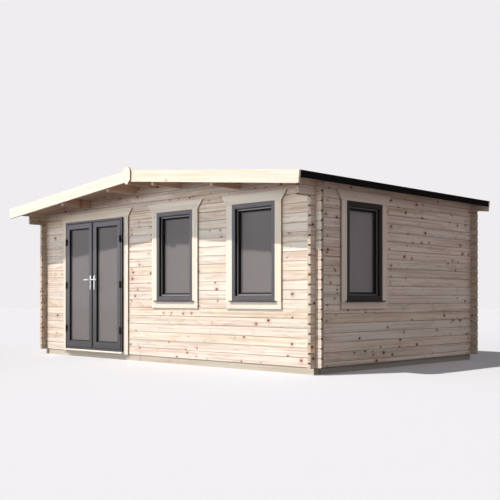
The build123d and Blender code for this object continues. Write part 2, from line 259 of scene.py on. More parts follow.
height = sky.split(direction)[2]
bright_side = lobe((-0.72, -0.69, 0.08), 0.22, 1.0) * height.step(0.50, 0.06)
weak_side = lobe((0.74, 0.64, 0.10), 0.05, 1.0)
path = sky.node("LightPath", {}, {}, "Is Camera Ray")
sky_tint = sky.mix(bright_side, (1.0, 0.95, 1.01), (0.90, 1.01, 1.07))
sky_light = bright_side * 5.6 + weak_side * 0.73 + 0.05
lit, seen = background(sky_tint, sky_light), background(backdrop, 1.0)
mirrored = background((0.92, 0.86, 0.98), bright_side.step(0.0, 0.6) * 1.1 + 0.01)
looked_at = path.math("MAXIMUM", path.output("Is Transmission Ray"))
mixed = sky.node("MixShader", {}, {0: path.output("Is Glossy Ray"), 1: lit, 2: mirrored})
mixed = sky.node("MixShader", {}, {0: looked_at, 1: mixed, 2: seen})
world_output = sky.tree.nodes.new("ShaderNodeOutputWorld")
sky.tree.links.new(mixed.socket, world_output.inputs["Surface"])

floor_mesh = bmesh.new()
bmesh.ops.create_grid(floor_mesh, x_segments=1, y_segments=1, size=60)
floor_data = bpy.data.meshes.new("studio_floor")
floor_mesh.to_mesh(floor_data)
floor_mesh.free()
put("studio_floor", floor_data)

pale = Finish("pale floor", roughness=1.0, specular_ior_level=0.0)
looked_at = pale.node("LightPath", {}, {}, "Is Camera Ray")
unseen = pale.mix(looked_at.output("Is Glossy Ray"), (0.17, 0.163, 0.17),
                  (0.035, 0.034, 0.035))
pale.set(base_color=pale.mix(looked_at, unseen, (0.705, 0.718, 0.742)))
floor_data.materials.append(pale.material)
print("sun and sky set")

# %% [markdown]
# Spruce is pale, with darker lines of late wood, streaks along the log, round knots and
# small differences from log to log. A flat pattern would slide or repeat, so the grain is
# worked out in three dimensions, as it is in a real trunk: growth rings are circles about
# an axis that lies along the timber, a little outside it and gently wavering. Faces along
# the timber then show flames, and the sawn ends show rings, with no extra work.

# %% Timber: grain, knots and end grain
def timber(finish, along, across, depth, piece, end, look):
    """Gives a finish the sheen and relief of softwood and returns its colour.

    along, across and depth are a point's place in its own timber, in metres; piece is a
    number that differs from timber to timber; end is 1 on sawn ends.
    """
    chance = finish.node("TexWhiteNoise", {"noise_dimensions": "1D"}, {"W": piece + 0.37},
                         "Color")
    first, second, third = finish.split(chance)
    run = along + first * 60.0

    def drawn_out(lengthwise, crosswise, detail=2.0, shift=None):
        """Noise drawn out along the timber, by how often it changes each way."""
        aside = across * crosswise
        if shift:
            aside = aside + shift
        return finish.noise(finish.join(run * lengthwise, aside, depth * crosswise),
                            detail=detail)

    waver = (drawn_out(0.9, 5.0) - 0.5) * 0.045
    pith_across = across + (second - 0.5) * 0.09 + waver
    pith_depth = depth + 0.035 + third * 0.05 + waver * 0.6
    radius = (pith_across * pith_across + pith_depth * pith_depth).math("SQRT")

    # Knots sit in cells along the timber, in whorls: each has its own size, most small.
    cell_long, cell_high = look["knot_cell"]
    cells = finish.join(run / cell_long, across / cell_high + first * 9.0, piece * 3.1)
    nearest = finish.node("TexVoronoi", {"voronoi_dimensions": "3D", "feature": "F1"},
                          {"Vector": cells, "Scale": 1.0}, "Position")
    size_luck, tone_luck, _ = finish.split(nearest.output("Color"))
    offset = finish.node("VectorMath", {"operation": "SUBTRACT"}, {0: cells, 1: nearest})
    off_long, off_high, _ = finish.split(offset)
    off_long, off_high = off_long * cell_long * 0.75, off_high * cell_high
    knot_distance = (off_long * off_long + off_high * off_high).math("SQRT")
    whorl = finish.noise(finish.join(run * 1.9, piece * 5.3, 0.5), 1.0, 1.0)
    grown = (size_luck - 1 + look["knots"]).math("MAXIMUM", 0.0)
    knot_size = whorl.step(0.46, 0.52) * grown * look["knot_size"] / look["knots"]
    ragged = finish.noise(finish.join(run, across, depth), 90.0, 3.0) - 0.5
    edge = knot_distance - knot_size + ragged * 0.006
    knot = edge.step(0.0015, -0.001) * knot_size.step(0.0008, 0.003)
    halo = (edge / (knot_size + 0.004)).step(2.2, 0.0) * knot_size.step(0.001, 0.004)

    ring = (radius + halo * 0.006) / look["ring_width"]
    late = ring.math("FRACT") ** 3.0
    groups = finish.noise(finish.join(ring * 0.23, piece * 1.7, run * 0.25)).step(0.42, 0.72)
    streaks = drawn_out(0.7, 42.0, 3.0).step(0.34, 0.66)
    fine_streaks = drawn_out(1.3, 120.0).step(0.35, 0.65)
    fibres = drawn_out(14.0, 900.0)
    grain = late * 0.42 + groups * 0.45 + (streaks - 0.4) * 0.7 + (fine_streaks - 0.5) * 0.3
    colour = finish.mix(grain * look["contrast"], look["pale"], look["deep"])
    warm = finish.tint(third.step(0.35, 1.0) * 0.75, colour, look["pink"])
    tinted = finish.tint(second.step(0.45, 1.0) * 0.7, warm, look["yellow"])
    blush, cool = drawn_out(0.9, 24.0), drawn_out(0.6, 16.0, shift=7.0)
    blushed = finish.tint(blush.step(0.50, 0.68), tinted, look["blush"])
    blushed = finish.tint(cool.step(0.50, 0.70) * 0.8, blushed, look["cool"])
    shade = 1.0 - (first - 0.5) * look["log_shade"]
    toned = finish.node("VectorMath", {"operation": "SCALE"}, {0: blushed, "Scale": shade})
    haloed = finish.tint(halo * 0.5, toned, look["halo"])
    knot_colour = finish.mix(tone_luck.step(0.15, 0.65), look["live_knot"], look["dead_knot"])
    knotted = finish.mix(knot * 0.92, haloed, knot_colour)

    finish.set(roughness=0.58 + late * 0.06 + fibres * 0.12 + end * 0.12)
    finish.bump(fibres * 0.35 + late * 0.5 - knot * 0.8, 0.5 * mm, 0.5)
    return finish.tint(end * (0.55 + late * 0.35), knotted, look["end"])


spruce = {
    "pale": (0.87, 0.78, 0.675), "deep": (0.62, 0.49, 0.385), "pink": (0.99, 0.93, 0.90),
    "yellow": (0.985, 0.965, 0.88), "blush": (0.975, 0.885, 0.86), "cool": (0.87, 0.905, 0.90),
    "halo": (0.78, 0.52, 0.42), "live_knot": (0.20, 0.075, 0.045),
    "dead_knot": (0.035, 0.020, 0.016), "end": (0.68, 0.63, 0.56), "contrast": 1.0,
    "ring_width": 3.8 * mm, "knot_cell": (0.19, 0.09), "knots": 0.46,
    "knot_size": 17 * mm, "log_shade": 0.08,
}
print("timber looks:", len(spruce), "values")

# %% [markdown]
# A wall's logs are one solid, so the material finds its own log from the height: the
# gable walls start with a whole log and the side walls with half a one. Between two logs
# the tongue sits in its groove, and a thin dark gap shows at the bottom of the V; the V
# itself is darkened a little more as painted shade. Past the corners the short stubs are
# greyed as painted shade on their inner faces and the gable stubs' ends, and painted
# shadow darkens the notches between their ends.

# %% Log walls
# Painted shade: grey for the inner faces of the corner stubs and the gable stubs' sawn ends.
stub_shade_grey = (0.77, 0.77, 0.76)
groove_shade_tint = (0.72, 0.6, 0.48)
joint_gap_and_notch_shadow = (0.07, 0.042, 0.03)
side_ends = [end.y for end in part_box("right_wall")]
gable_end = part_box("rear_wall")[1].x
top_log_base, top_log_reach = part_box("right_top_log")[0].z, 200 * mm


def log_walls(name, side_walls):
    """The finish of the gable walls, or of the side walls with their half-log start."""
    finish = Finish(name, specular_ior_level=0.3)
    x, y, z = finish.split(finish.place())
    facing_x, facing_y, _ = finish.facing()
    level = (z - wall_base) / course
    if side_walls:
        along, depth, end, level = y, x, facing_y, level + 0.5
    else:
        along, depth, end = x, y, facing_x
    log = level.math("FLOOR")
    within = (level - log - 0.5) * course
    piece = log + depth.math("SIGN") * 40.0 + (100.0 if side_walls else 0.0)
    end = end.step(0.72, 0.8)
    local_depth = abs(depth)
    colour = timber(finish, along, within, local_depth, piece, end, spruce)
    from_joint = course / 2 - abs(within)
    tightness = finish.noise(finish.join(along * 1.1, level.math("ROUND") * 7.3, 2.0))
    gap = from_joint.step(2.6 * mm, 1.0 * mm) * (0.45 + tightness.step(0.35, 0.6) * 0.5)
    if side_walls:
        past_front = (y - (front_face - 5 * mm)).step(0.0, -4 * mm)
        stub_shade = past_front.math("MAXIMUM", (y - (rear_face + 1 * mm)).step(0.0, 4 * mm))
        top_log = z.step(top_log_base, top_log_base + 1 * mm)
        to_front = y - side_ends[0] + top_log * top_log_reach
        to_end = to_front.math("MINIMUM", side_ends[1] - y)
        middle = half_width - log_middle
        stub_shade = stub_shade * (1 - end) * local_depth.step(middle + 2 * mm, middle - 2 * mm)
    else:
        front_middle, rear_middle = front_face + log_middle, rear_face - log_middle
        inner = (y.step(front_middle - 1 * mm, front_middle + 1 * mm)
                 * y.step(rear_middle + 1 * mm, rear_middle - 1 * mm))
        stub_shade = (abs(x) - half_width).step(0.0, 4 * mm) * end.math("MAXIMUM", inner)
        to_end = gable_end - abs(x)
    # Painted shadow: dark notches where the eased log ends meet near each wall's end. They take
    # the same dark colour as the real joint gap.
    notch_shadow = (from_joint - (10.5 * mm - to_end * 0.62)).step(0.8 * mm, -0.8 * mm)
    gap = gap.math("MAXIMUM", notch_shadow)
    # Painted shade: the wood darkens within 9 mm of each joint, in the V between logs.
    groove_shade = from_joint.step(9 * mm, 0.0) * 0.3
    # Painted shade greys the stubs past the corners.
    greyed_in_shade = finish.tint(stub_shade, colour, stub_shade_grey)
    groove_shaded = finish.tint(groove_shade, greyed_in_shade, groove_shade_tint)
    finish.set(base_color=finish.mix(gap * 0.92, groove_shaded, joint_gap_and_notch_shadow))
    return finish.material


gable_logs = log_walls("planed logs of the gable walls", False)
side_logs = log_walls("planed logs of the side walls", True)
dress(gable_logs, "front_wall_left", "front_wall_right", "front_wall_top", "rear_wall")
dress(side_logs, "left_wall", "right_wall", "left_top_log", "right_top_log")

# %% [markdown]
# Beams, bearers and boards that lie along one axis of the cabin share one recipe, and are
# told apart by where they lie across it. Planed boards have fewer and smaller knots.
# Bearers are pressure treated; those at the sides and the floor joists lie deep under the
# wall and are darker, as painted shade. Beams and roof lining boards are a darker, redder
# spruce, as painted shade under the eaves.

# %% Beams and boards along one axis
def straight_timber(name, axis, look, spacing=0.2):
    """Timber that lies along X, Y or Z, told apart by where it lies across that axis."""
    finish = Finish(name, specular_ior_level=0.3)
    parts = finish.split(finish.place())
    facing = finish.facing()
    along = parts.pop(axis)
    end = facing.pop(axis).step(0.72, 0.8)
    across, depth = parts
    piece = (across / spacing).math("ROUND") * 3.0 + (depth / spacing).math("ROUND") + axis * 50
    finish.set(base_color=timber(finish, along, across, depth, piece, end, look))
    return finish.material


pale_board = {**spruce, "pale": (0.875, 0.795, 0.685), "deep": (0.74, 0.62, 0.47),
              "end": (1.0, 0.97, 0.92), "contrast": 0.5, "knots": 0.12,
              "knot_size": 7 * mm, "log_shade": 0.05}
treated = {**spruce, "pale": (0.60, 0.565, 0.465), "deep": (0.45, 0.41, 0.31),
           "contrast": 0.6, "log_shade": 0.05, "knots": 0.2}
dress(straight_timber("bearer timber across", 0, treated), "front_bearer", "rear_bearer")
# Painted shade: the side bearers and floor joists are darker than the front ones.
shaded = {**treated, "pale": (0.40, 0.385, 0.33), "deep": (0.30, 0.28, 0.23)}
dress(straight_timber("bearer timber lengthways", 1, shaded), "side_bearers", "floor_joists")
# Painted shade: a darker, redder copy of the spruce for the beams and roof lining under the
# eaves.
soffit_shade_timber = {**spruce, "pale": (0.76, 0.60, 0.48), "deep": (0.52, 0.34, 0.24)}
dress(straight_timber("beam timber", 1, soffit_shade_timber),
      "ridge_purlin", "left_purlins", "right_purlins")
bargeboard_nodes = ("front_bargeboard_left", "front_bargeboard_right",
                    "rear_bargeboard_left", "rear_bargeboard_right")
dress(straight_timber("board timber across", 0, pale_board), *bargeboard_nodes,
      "door_threshold")
dress(straight_timber("board timber upright", 2, pale_board),
      "finials", "door_trim", "window_trims")
dress(straight_timber("lining boards", 0, spruce, 0.095), "roof_boards", "floor")

# %% [markdown]
# The doors and windows are plastic profiles wrapped in a dark grey foil, satin rather than
# glossy. The foil is one colour; what the eye sees is how evenly it catches the sky, so a
# faint unevenness in roughness matters more than any pattern. The outer sides, which turn
# to the wall or the next profile, lose the coat and turn matt, and are coloured black as
# painted shade. The sashes take a lighter copy of the foil, as painted light.

# %% Grey plastic profiles
def grey_plastic(name, colour, roughness):
    finish = Finish(name, specular_ior_level=1.0, coat_roughness=0.28)
    place = finish.place()
    cloud = finish.noise(place, 6.0, 3.0)
    fine = finish.noise(place, 260.0, 2.0)
    lighter = tuple(part * 1.35 for part in colour)
    foil = finish.mix(cloud * 0.5, colour, lighter)
    # Painted shade: the outer sides are coloured black; they also lose the coat and turn matt.
    matt_shaded_sides = finish.mark("outward").step(0.8, 0.9)
    side_shade_black = (0.004, 0.004, 0.004)
    finish.set(base_color=finish.mix(matt_shaded_sides, foil, side_shade_black), coat_weight=1 - matt_shaded_sides,
               roughness=roughness + cloud * 0.08 + fine * 0.05 + matt_shaded_sides * 0.5)
    finish.bump(fine, 0.12 * mm, 0.35)
    return finish.material


anthracite = grey_plastic("dark grey foiled plastic", (0.052, 0.048, 0.0475), 0.28)
# Painted light: the sash takes a lighter copy of the same foil.
lit_sash_foil = grey_plastic("sash foil lightened as painted light", (0.19, 0.175, 0.178), 0.28)
dress(anthracite, "door_frame", "left_door_leaf", "right_door_leaf", "window_frames",
      "window_sashes", "window_sills", "meeting_strip")

# %% [markdown]
# The glass is a sealed double unit. Its clear outer pane mirrors the surroundings faintly
# and lets most of the light on to a warm grey inner pane, which catches the sun and hides
# nearly all of the room.

# %% Tinted glass
def tinted_glass(name, tint, alpha, gloss):
    """Glass with a faint unevenness, as cleaned glass has."""
    finish = Finish(name, roughness=0.03, ior=1.5, specular_ior_level=gloss)
    haze = finish.noise(finish.place(), 2.2, 3.0)
    finish.set(base_color=finish.mix(haze * 0.3, tint, tuple(part * 1.15 for part in tint)),
               alpha=alpha + haze * 0.04)
    return finish.material


greige_glass = tinted_glass("warm grey glass", (0.33, 0.292, 0.28), 0.93, 0.03)
dress(greige_glass, "window_glass", "left_door_glass", "right_door_glass")

# %% [markdown]
# Hinges are powder-coated black. Handles are satin chrome. The roof is a sheet of black
# rubber with a matching plastic drip along the eaves, and foam boards fill the roof. None
# has a pattern, so one recipe serves them all: a slow unevenness and a fine grit.

# %% Metals, rubber and foam
def plain_finish(name, colour, roughness, metallic=0.0, grit=300.0, depth=0.05 * mm):
    finish = Finish(name, metallic=metallic)
    place = finish.place()
    cloud = finish.noise(place, 9.0, 3.0)
    fine = finish.noise(place, grit, 2.0)
    darker = tuple(part * 0.82 for part in colour)
    finish.set(base_color=finish.mix(cloud * 0.6, colour, darker),
               roughness=roughness + (cloud - 0.5) * 0.12 + (fine - 0.5) * 0.08)
    finish.bump(fine, depth, 0.4)
    return finish.material


black_coat = plain_finish("black powder coat", (0.014, 0.014, 0.015), 0.42)
satin_chrome = plain_finish("satin chrome", (0.95, 0.95, 0.95), 0.36, 0.30, 500.0, 0.02 * mm)
rubber = plain_finish("black roof rubber", (0.024, 0.023, 0.024), 0.62, 0.0, 60.0, 0.6 * mm)
drip_plastic = plain_finish("black drip trim", (0.010, 0.009, 0.010), 0.5)
foam = plain_finish("roof foam", (0.80, 0.74, 0.52), 0.85)
dress(black_coat, "door_frame_hinges", "left_door_hinges", "right_door_hinges")
dress(satin_chrome, "left_handle_plates", "right_handle_plates", "left_lever", "right_lever")
dress(rubber, "roof_covering_left", "roof_covering_right")
dress(drip_plastic, "eave_bands")
dress(foam, "roof_insulation")

# %% [markdown]
# A sawn board is one more kind of timber, but boards lie in every direction. So each board
# carries its own small coordinates as attributes, and the material reads those. The narrow
# edges of trim boards are darkened as painted shade.

# %% Boards that carry their own grain
def board_timber(name, look):
    finish = Finish(name, specular_ior_level=0.3)
    along, across, depth = finish.split(finish.mark("grain", "Vector"))
    colour = timber(finish, along, across, depth, finish.mark("board"), finish.mark("end"),
                    look)
    # Painted shade on the narrow edges of the boards.
    if "edge" in look:
        edge = abs(finish.mark("outward")).step(0.55, 0.65)
        colour = finish.tint(edge, colour, look["edge"])
    finish.set(base_color=colour)
    return finish.material


lining_timber = board_timber("roof lining timber", soffit_shade_timber)
floor_timber = board_timber("floor board timber", spruce)
edge_shaded_board = {**pale_board, "edge": (0.50, 0.47, 0.41)}
trim_timber = board_timber("trim board timber", edge_shaded_board)
barge_timber = board_timber("bargeboard timber", pale_board)
# Black rubber for the real seals, and for linings that paint shade into the reveals.
seal_and_shade_rubber = plain_finish("black seals and painted reveal shade", (0.010, 0.010, 0.010), 0.5)
spacer_metal = plain_finish("dark spacer bar", (0.06, 0.058, 0.06), 0.45)
screw_metal = plain_finish("zinc screw metal", (0.45, 0.43, 0.38), 0.4, 1.0)
clear_glass = tinted_glass("clear outer glass", (0.27, 0.25, 0.245), 0.30, 0.20)
# Painted light: the side window's inner pane is a lighter copy of the grey glass.
lit_side_glass = tinted_glass("side glass lightened as painted light", (0.84, 0.81, 0.83), 0.93, 0.05)
print("finishes:", len(bpy.data.materials))

# %% [markdown]
# Joiners and window makers both start from straight lengths: a section is drawn once and
# run through a planer or an extruder. So each new piece here starts as an outline that is
# extruded, cut by planes at its ends, and then has its sharp edges eased by a bevel. That
# small rounding catches the light, as it does on real timber and plastic.

# %% Straight lengths from a section
def rectangle(y_span, z_span):
    """The four corners of a rectangular section."""
    (near, far), (bottom, top) = y_span, z_span
    return [(near, bottom), (far, bottom), (far, top), (near, top)]


def points_of(extruded):
    """The new points that an extrusion made."""
    return [item for item in extruded["geom"] if isinstance(item, bmesh.types.BMVert)]


def planed(section, x_span, cuts=(), edge=1.5 * mm, segments=2):
    """A length along X of a section drawn as (y, z) corners.

    Each cut is a point and a direction: what lies beyond the plane in it is sawn off.
    """
    made = bmesh.new()
    corners = [made.verts.new((x_span[0], y, z)) for y, z in section]
    swept = bmesh.ops.extrude_face_region(made, geom=[made.faces.new(corners)])
    bmesh.ops.translate(made, vec=(x_span[1] - x_span[0], 0, 0), verts=points_of(swept))
    for point, beyond in cuts:
        everything = [*made.verts, *made.edges, *made.faces]
        sawn = bmesh.ops.bisect_plane(made, geom=everything, plane_co=point,
                                      plane_no=beyond, clear_outer=True)
        rim = [item for item in sawn["geom_cut"] if isinstance(item, bmesh.types.BMEdge)]
        bmesh.ops.edgeloop_fill(made, edges=rim)
    bmesh.ops.recalc_face_normals(made, faces=made.faces)
    ease(made, edge, segments)
    return made


def ease(made, edge, segments=2, sharper_than=25):
    """Rounds every edge that turns by more than an angle in degrees."""
    if edge:
        limit = math.radians(sharper_than)
        sharp = [item for item in made.edges if item.calc_face_angle(0) > limit]
        bmesh.ops.bevel(made, geom=sharp, offset=edge, offset_type="OFFSET",
                        segments=segments, profile=0.5, affect="EDGES", material=-1,
                        clamp_overlap=True)


sample = planed(rectangle((0, 20 * mm), (0, 100 * mm)), (0, 1))
print("a planed board has", len(sample.faces), "faces")
sample.free()

# %% [markdown]
# Many parts make one piece, such as all the boards of a trim. Each part is drawn lying
# along X, marked there, and then carried to its place. The marks stay with it: where a
# point lies in its own board, the board's number, its sawn ends, and how far a face turns
# to the section's outer side. A finished piece has soft roundings and crisp flats.

# %% Parts gathered into one piece
class Assembly:
    """Parts gathered into one piece, each marked before it is placed."""

    def __init__(self, first_board=0):
        self.whole = bmesh.new()
        self.board = first_board

    def add(self, part, place=Matrix()):
        """Marks a part, carries it to its place and takes it in."""
        grain = part.verts.layers.float_vector.new("grain")
        board = part.verts.layers.float.new("board")
        end = part.faces.layers.float.new("end")
        outward = part.faces.layers.float.new("outward")
        for vertex in part.verts:
            x, y, z = vertex.co
            vertex[grain] = (x, z, y)
            vertex[board] = self.board
        for face in part.faces:
            face[end] = float(abs(face.normal.x) > 0.6)
            face[outward] = -face.normal.z
        bmesh.ops.transform(part, matrix=place, verts=part.verts)
        carried = bpy.data.meshes.new("part")
        part.to_mesh(carried)
        part.free()
        self.whole.from_mesh(carried)
        bpy.data.meshes.remove(carried)
        self.board += 1

    def block(self, x_span, y_span, z_span, place=Matrix(), **shaping):
        """Takes in a planed length with a rectangular section."""
        self.add(planed(rectangle(y_span, z_span), x_span, **shaping), place)

    def finish(self, name, material, body, slot, *stands_for, smooth=12):
        """Makes the piece, lets it ride on a body and hides what it stands for."""
        open_edges = sum(not edge.is_manifold for edge in self.whole.edges)
        data = bpy.data.meshes.new(name)
        self.whole.to_mesh(data)
        self.whole.free()
        data.materials.append(material)
        data.shade_smooth()
        data.set_sharp_from_angle(angle=math.radians(smooth))
        piece = put(name, data)
        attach(piece, body)
        if stands_for:
            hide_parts(*stands_for)
        print(name, "parts", self.board, "faces", len(data.polygons), "open", open_edges)


def turned(angle, axis):
    """A turn in degrees about X, Y or Z."""
    return Matrix.Rotation(math.radians(angle), 4, axis)


def moved(x, y, z):
    """A move in metres."""
    return Matrix.Translation((x, y, z))


print("X turned a quarter about Z:", turned(90, "Z") @ Vector((1, 0, 0)))

# %% [markdown]
# The roof is lined with tongued boards that run down the slope from the ridge to the eave
# and lie on the purlins. Their eased edges make the fine V lines that are seen under the
# overhang. Their ends are plumb while the boards slope, so each is drawn flat and then
# sheared: upright lines stay upright. Floor boards are the same thing without the shear.

# %% Roof lining and floor boards
def laid_boards(assembly, x_span, y_span, thickness, count, place):
    """Boards side by side across y_span, each running along X with its underside at 0."""
    width = (y_span[1] - y_span[0]) / count
    for number in range(count):
        middle = y_span[0] + (number + 0.5) * width
        laid = place @ moved(0, middle, 0) @ turned(90, "X")
        assembly.block(x_span, (0, thickness), (-width / 2, width / 2), laid,
                       edge=2.5 * mm, segments=1)


slope = math.tan(pitch)
lining_thickness, lining_count, floor_count = 19 * mm, 42, 29
low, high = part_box("roof_boards")
ridge_underside = low.z + high.x * slope
sheared = Matrix()
sheared[2][0] = -slope
lining = Assembly()
for half_turn in (0, 180):
    place = moved(0, 0, ridge_underside) @ turned(half_turn, "Z") @ sheared
    laid_boards(lining, (1 * mm, high.x), (low.y, high.y), lining_thickness, lining_count,
                place)
lining.finish("roof_lining_boards", lining_timber, "cabin", "roof_boards", "roof_boards")

low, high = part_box("floor")
flooring = Assembly(200)
laid_boards(flooring, (low.x, high.x), (low.y, high.y), high.z - low.z, floor_count,
            moved(0, 0, low.z))
flooring.finish("floor_boards", floor_timber, "cabin", "floor_boards", "floor")

# %% [markdown]
# Screws show wherever a board is fixed: a countersunk head with a recess, flush with the
# wood. A head has few faces, because there are more than a hundred of them.

# %% Screws
def screw_head(radius=3.6 * mm):
    """A countersunk head with a recess, facing +Z, with its rim at Z = 0."""
    head = bmesh.new()
    bmesh.ops.create_circle(head, cap_ends=True, radius=radius, segments=12)
    face = head.faces[:]
    bmesh.ops.inset_region(head, faces=face, thickness=0.45 * radius, depth=0)
    bmesh.ops.inset_region(head, faces=face, thickness=0.06 * radius, depth=-0.4 * radius)
    rim = [edge for edge in head.edges if edge.is_boundary]
    lowered = points_of(bmesh.ops.extrude_edge_only(head, edges=rim))
    bmesh.ops.translate(head, vec=(0, 0, -0.8 * radius), verts=lowered)
    bmesh.ops.scale(head, vec=(0.6, 0.6, 1), verts=lowered)
    under = [edge for edge in head.edges if edge.is_boundary]
    bmesh.ops.edgeloop_fill(head, edges=under)
    bmesh.ops.recalc_face_normals(head, faces=head.faces)
    return head


def drive(place, xs, zs, y, outward=90):
    """Screws at a board's own places along and across, on its face at depth y."""
    for x in xs:
        for z in zs:
            screws.add(screw_head(), place @ moved(x, y, z) @ turned(outward, "X"))


screws = Assembly()
sample = screw_head()
print("a screw head has", len(sample.faces), "faces")
sample.free()

# %% [markdown]
# Bargeboards close the roof's ends. They are planed boards set along the slope, sawn plumb
# where they meet under the ridge and square at the eave. A finial, a plate with clipped
# corners, covers the joint.

# %% Bargeboards and finials
low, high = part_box("front_bargeboard_right")
board_height, board_thickness = 146 * mm * math.cos(pitch), 28 * mm
board_length, ridge_top = high.x / math.cos(pitch), high.z
towards_left = (-math.cos(pitch), 0, -math.sin(pitch))
along_slope, up_board = (0.12, 0.50, 0.98, 1.53, 2.05, 2.50, 2.86), (-30 * mm, -110 * mm)
bargeboards = Assembly(300)
for end in ("front", "rear"):
    low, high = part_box(end + "_bargeboard_right")
    for half_turn, near_y in ((0, low.y), (180, high.y)):
        place = (moved(0, near_y, ridge_top) @ turned(half_turn, "Z")
                 @ turned(math.degrees(pitch), "Y"))
        bargeboards.block((-60 * mm, board_length), (0, board_thickness), (-board_height, 0),
                          place, cuts=[((0, 0, 0), towards_left)], edge=2 * mm)
        faces_out = (end == "front") == (half_turn == 0)
        drive(place, along_slope, up_board, 0 if faces_out else board_thickness,
              90 if faces_out else -90)
bargeboards.finish("bargeboards", barge_timber, "cabin", "bargeboard_timber",
                   *bargeboard_nodes)

low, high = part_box("finials")
plate_height, half_plate, plate_back = high.z - low.z, high.x, 20 * mm
clipped, foot, lift = 32 * mm, 17 * mm, 0.4 * mm
cuts = []
for side in (-1, 1):
    cuts.append(((plate_height, 0, side * (half_plate - clipped)), (1, 0, side)))
    cuts.append(((0, 0, side * foot), (-(half_plate - foot), 0, side * 60 * mm)))
finials = Assembly(320)
for face_y, outward in ((low.y, 90), (high.y - plate_back, -90)):
    faces_out = outward == 90
    place = moved(0, face_y - (0 if faces_out else lift), low.z) @ turned(-90, "Y")
    finials.block((0, plate_height), (lift, plate_back), (-half_plate, half_plate), place,
                  cuts=cuts, edge=2 * mm)
    drive(place, (70 * mm, 150 * mm), (-30 * mm, 30 * mm), lift if faces_out else plate_back,
          outward)
finials.finish("finials", trim_timber, "cabin", "bargeboard_timber", "finials")

# %% [markdown]
# Planed trim boards cover the cut ends of the logs round each opening: two uprights, a
# head board whose ends flare outwards, and under a window a low board. Grain follows each
# board, so the head's runs across and the sides' run up.

# %% Trims round the openings
window_half = 351 * mm
front_places = [moved(x, front_face, 0) for x in (353 * mm, 1771 * mm)]
side_place = moved(half_width, front_face + (547 * mm + window_half), 0) @ turned(90, "Z")
window_places = [*front_places, side_place]
head_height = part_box("front_wall_top")[0].z
trim_face = (-20 * mm, 0)


def trim(assembly, half_opening, bottom, place, low_board):
    """The boards round an opening, from bottom to the head."""
    width, flare, head, low_height = 100 * mm, 85 * mm, 115 * mm, 85 * mm

    def board(placed, ends, z_span, shares, rows, past=0, cuts=()):
        """A board that reaches past its ends, and screws at shares of the span between."""
        start, stop = ends
        assembly.block((start - past, stop + past), trim_face, z_span, placed, cuts=cuts,
                       edge=2 * mm)
        fixings = [start + share * (stop - start) for share in shares]
        drive(placed, fixings, rows, trim_face[0])

    for x in (-half_opening - width / 2, half_opening + width / 2):
        board(place @ moved(x, 0, 0) @ turned(-90, "Y"), (bottom, head_height),
              (-width / 2, width / 2), (0.05, 0.35, 0.65, 0.95), (-30 * mm, 30 * mm))
    right = half_opening + width
    cuts = [((side * right, 0, 0), (side * head, 0, -flare)) for side in (-1, 1)]
    board(place @ moved(0, 0, head_height), (-right, right), (0, head), (0.04, 0.5, 0.96),
          (25 * mm, 90 * mm), flare, cuts)
    if low_board:
        board(place @ moved(0, 0, bottom), (-right, right), (-low_height, 0),
              (0.06, 0.5, 0.94), (-42 * mm,))


sill_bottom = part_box("window_sills")[0].z
window_trims = Assembly(340)
for place in window_places:
    trim(window_trims, window_half, sill_bottom, place, True)
window_trims.finish("window_trim_boards", trim_timber, "cabin", "trim_timber",
                    "window_trims")

low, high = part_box("door_frame")
half_door = (high.x - low.x) / 2
door_x, door_z = (-half_door, half_door), (low.z, high.z)
door_place = moved((low.x + high.x) / 2, front_face, 0)
door_trims = Assembly(370)
trim(door_trims, half_door, wall_base, door_place, False)
door_trims.finish("door_trim_boards", trim_timber, "cabin", "trim_timber", "door_trim")

# %% [markdown]
# The threshold is a planed board under the doors with a thinner nose that throws the rain
# clear of the bearer.

# %% Threshold
low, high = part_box("door_threshold")
depth = high.y - low.y
threshold = Assembly(390)
nose = [(0, 10 * mm), (0, 31 * mm), (18 * mm, 34 * mm), (depth, 34 * mm), (depth, 0),
        (52 * mm, 0), (48 * mm, 10 * mm)]
threshold.add(planed(nose, (low.x, high.x), edge=1.5 * mm), moved(0, low.y, low.z))
threshold.finish("door_threshold_board", barge_timber, "cabin", "bargeboard_timber",
                 "door_threshold")

# %% [markdown]
# Window and door frames are welded from plastic lengths cut to a mitre. One section, drawn
# once, makes all four sides; the eased edges along the mitres leave the fine line of the
# weld. The glass sits deep in the sash behind a sloping bead with a black rubber gasket,
# and black seals that line the reveals as painted shade give the windows their crisp dark
# outline.

# %% Mitred rings
def mitred_ring(assembly, draw, widths, x_span, z_span, place, edge=0.8 * mm):
    """Four lengths mitred round a rectangle.

    draw gives the section of a member from its width, as (depth, distance inwards), and
    widths are those of the bottom, right, top and left members.
    """
    (left, right), (bottom, top) = x_span, z_span
    starts = [(left, bottom, 0), (right, bottom, -90), (right, top, 180), (left, top, 90)]
    for number, (x, z, angle) in enumerate(starts):
        length = top - bottom if number % 2 else right - left
        width = widths[number]
        before, after = widths[number - 1], widths[(number + 1) % 4]
        cuts = [((0, 0, 0), (-width, 0, before)), ((length, 0, 0), (width, 0, after))]
        part = planed(draw(width), (0, length), cuts, edge)
        assembly.add(part, place @ moved(x, 0, z) @ turned(angle, "Y"))


def shrunk(span, amount):
    """A span made shorter at both ends."""
    return (span[0] + amount, span[1] - amount)


def in_metres(*points):
    """A section drawn in millimetres, in metres."""
    return [(y * mm, z * mm) for y, z in points]


def profile(*points, sides=None):
    """A section that follows its member's width.

    Points are in millimetres: the depth, and how far past the member's inner edge. A frame
    or sash also has an outer side between two depths.
    """
    def draw(width):
        corners = [(depth, width / mm + beyond) for depth, beyond in points]
        if sides:
            corners = [(sides[0], 0), *corners, (sides[1], 0)]
        return in_metres(*corners)
    return draw


def glaze(panes, depth, x_span, z_span, place):
    """Adds a 4 mm pane at a depth in millimetres behind the wall's face."""
    panes.block(x_span, (depth * mm, (depth + 4) * mm), z_span, place, edge=0.6 * mm,
                segments=1)


print("a 54 mm member with a lip:", profile((0, -5), (4, 0), sides=(0, 50))(54 * mm))
